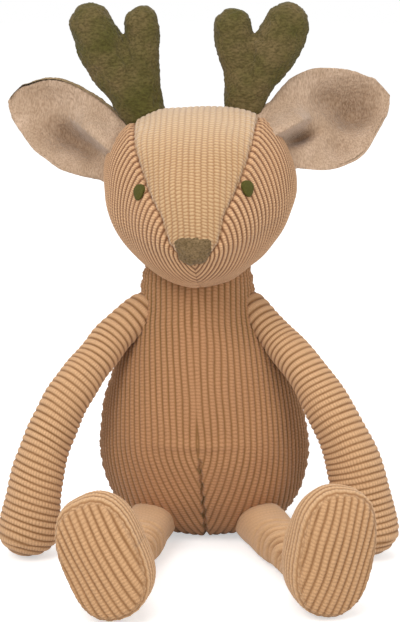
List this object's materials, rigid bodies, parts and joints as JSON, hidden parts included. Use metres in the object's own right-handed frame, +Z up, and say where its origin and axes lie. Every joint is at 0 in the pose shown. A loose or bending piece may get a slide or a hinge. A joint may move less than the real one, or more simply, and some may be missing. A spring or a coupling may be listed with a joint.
{
  "type": "plush toy deer",
  "caption": "Seated stuffed deer in wide-wale corduroy with a pale forehead panel, floppy limbs, flat soles, lined ears and forked plush antlers; rests on its seat and feet.",
  "frame": {"origin": "on the resting plane, in the flat patch under the seat; the body's side seams stand 4 mm behind it", "axes": "+Z up, -Y the way the face and the soles look, +X the deer's own left side"},
  "size_m": [0.2445, 0.2281, 0.3364],
  "materials": {
    "corduroy": "matte wide-wale corduroy, warm tan",
    "pale_corduroy": "matte corduroy, pale honey",
    "dark_plush": "short plush pile, dark olive brown",
    "pale_plush": "short plush pile, pinkish beige",
    "nose_plush": "short fuzzy pile, grey brown",
    "eye_thread": "dense satin stitch with a soft fuzz, dark olive",
    "filling": "loose polyester fibre, white",
    "pellets": "thin inner bag of plastic pellets"
  },
  "bodies": {
    "torso": {"body_front": "corduroy", "body_back_left": "corduroy", "body_back_right": "corduroy", "body_stuffing": "filling", "pellet_bag": "pellets"},
    "head": {"head_gusset": "pale_corduroy", "head_side_left": "corduroy", "head_side_right": "corduroy", "head_stuffing": "filling", "nose": "nose_plush", "eye_left": "eye_thread", "eye_right": "eye_thread"},
    "ear_left": {"ear_left_lining": "pale_plush", "ear_left_back": "dark_plush"},
    "ear_right": {"ear_right_lining": "pale_plush", "ear_right_back": "dark_plush"},
    "antler_left": {"antler_left_front": "dark_plush", "antler_left_back": "dark_plush", "antler_left_stuffing": "filling"},
    "antler_right": {"antler_right_front": "dark_plush", "antler_right_back": "dark_plush", "antler_right_stuffing": "filling"},
    "arm_left": {"arm_left_cover": "corduroy", "arm_left_stuffing": "filling"},
    "arm_right": {"arm_right_cover": "corduroy", "arm_right_stuffing": "filling"},
    "leg_left": {"leg_left_cover": "corduroy", "foot_left_sole": "corduroy", "leg_left_stuffing": "filling"},
    "leg_right": {"leg_right_cover": "corduroy", "foot_right_sole": "corduroy", "leg_right_stuffing": "filling"}
  },
  "joints": [
    {"name": "head_nod", "type": "hinge", "parent": "torso", "child": "head", "pos_m": [-0.005, 0.004, 0.14], "axis": [0.9965, -0.0697, 0.0454], "range_deg": [-20, 20], "stiffness_Nm_per_rad": 0.8},
    {"name": "arm_left_swing", "type": "hinge", "parent": "torso", "child": "arm_left", "pos_m": [0.03136, -0.01069, 0.143], "axis": [-0.8261, 0.3338, -0.454], "range_deg": [-60, 10]},
    {"name": "arm_right_swing", "type": "hinge", "parent": "torso", "child": "arm_right", "pos_m": [-0.04002, -0.01015, 0.143], "axis": [-0.8261, -0.3338, 0.454], "range_deg": [-60, 10]},
    {"name": "leg_left_lift", "type": "hinge", "parent": "torso", "child": "leg_left", "pos_m": [0.034, -0.03313, 0.016], "axis": [-0.9588, -0.284, 0], "range_deg": [-50, 20]},
    {"name": "leg_right_lift", "type": "hinge", "parent": "torso", "child": "leg_right", "pos_m": [-0.034, -0.03425, 0.016], "axis": [-0.9799, 0.1994, 0], "range_deg": [-50, 20]},
    {"name": "ear_left_flap", "type": "hinge", "parent": "head", "child": "ear_left", "pos_m": [0.04784, -0.00145, 0.25103], "axis": [0.5326, -0.1726, -0.8286], "range_deg": [-10, 15], "stiffness_Nm_per_rad": 0.03},
    {"name": "ear_right_flap", "type": "hinge", "parent": "head", "child": "ear_right", "pos_m": [-0.0569, 0.0059, 0.24644], "axis": [0.4743, 0.1022, 0.8744], "range_deg": [-10, 15], "stiffness_Nm_per_rad": 0.03},
    {"name": "antler_left_bend", "type": "hinge", "parent": "head", "child": "antler_left", "pos_m": [0.02398, 0.00085, 0.26822], "axis": [0.9619, -0.0673, -0.2651], "range_deg": [-10, 10], "stiffness_Nm_per_rad": 0.05},
    {"name": "antler_right_bend", "type": "hinge", "parent": "head", "child": "antler_right", "pos_m": [-0.03433, 0.00493, 0.26556], "axis": [0.9339, -0.0653, 0.3514], "range_deg": [-10, 10], "stiffness_Nm_per_rad": 0.05}
  ]
}
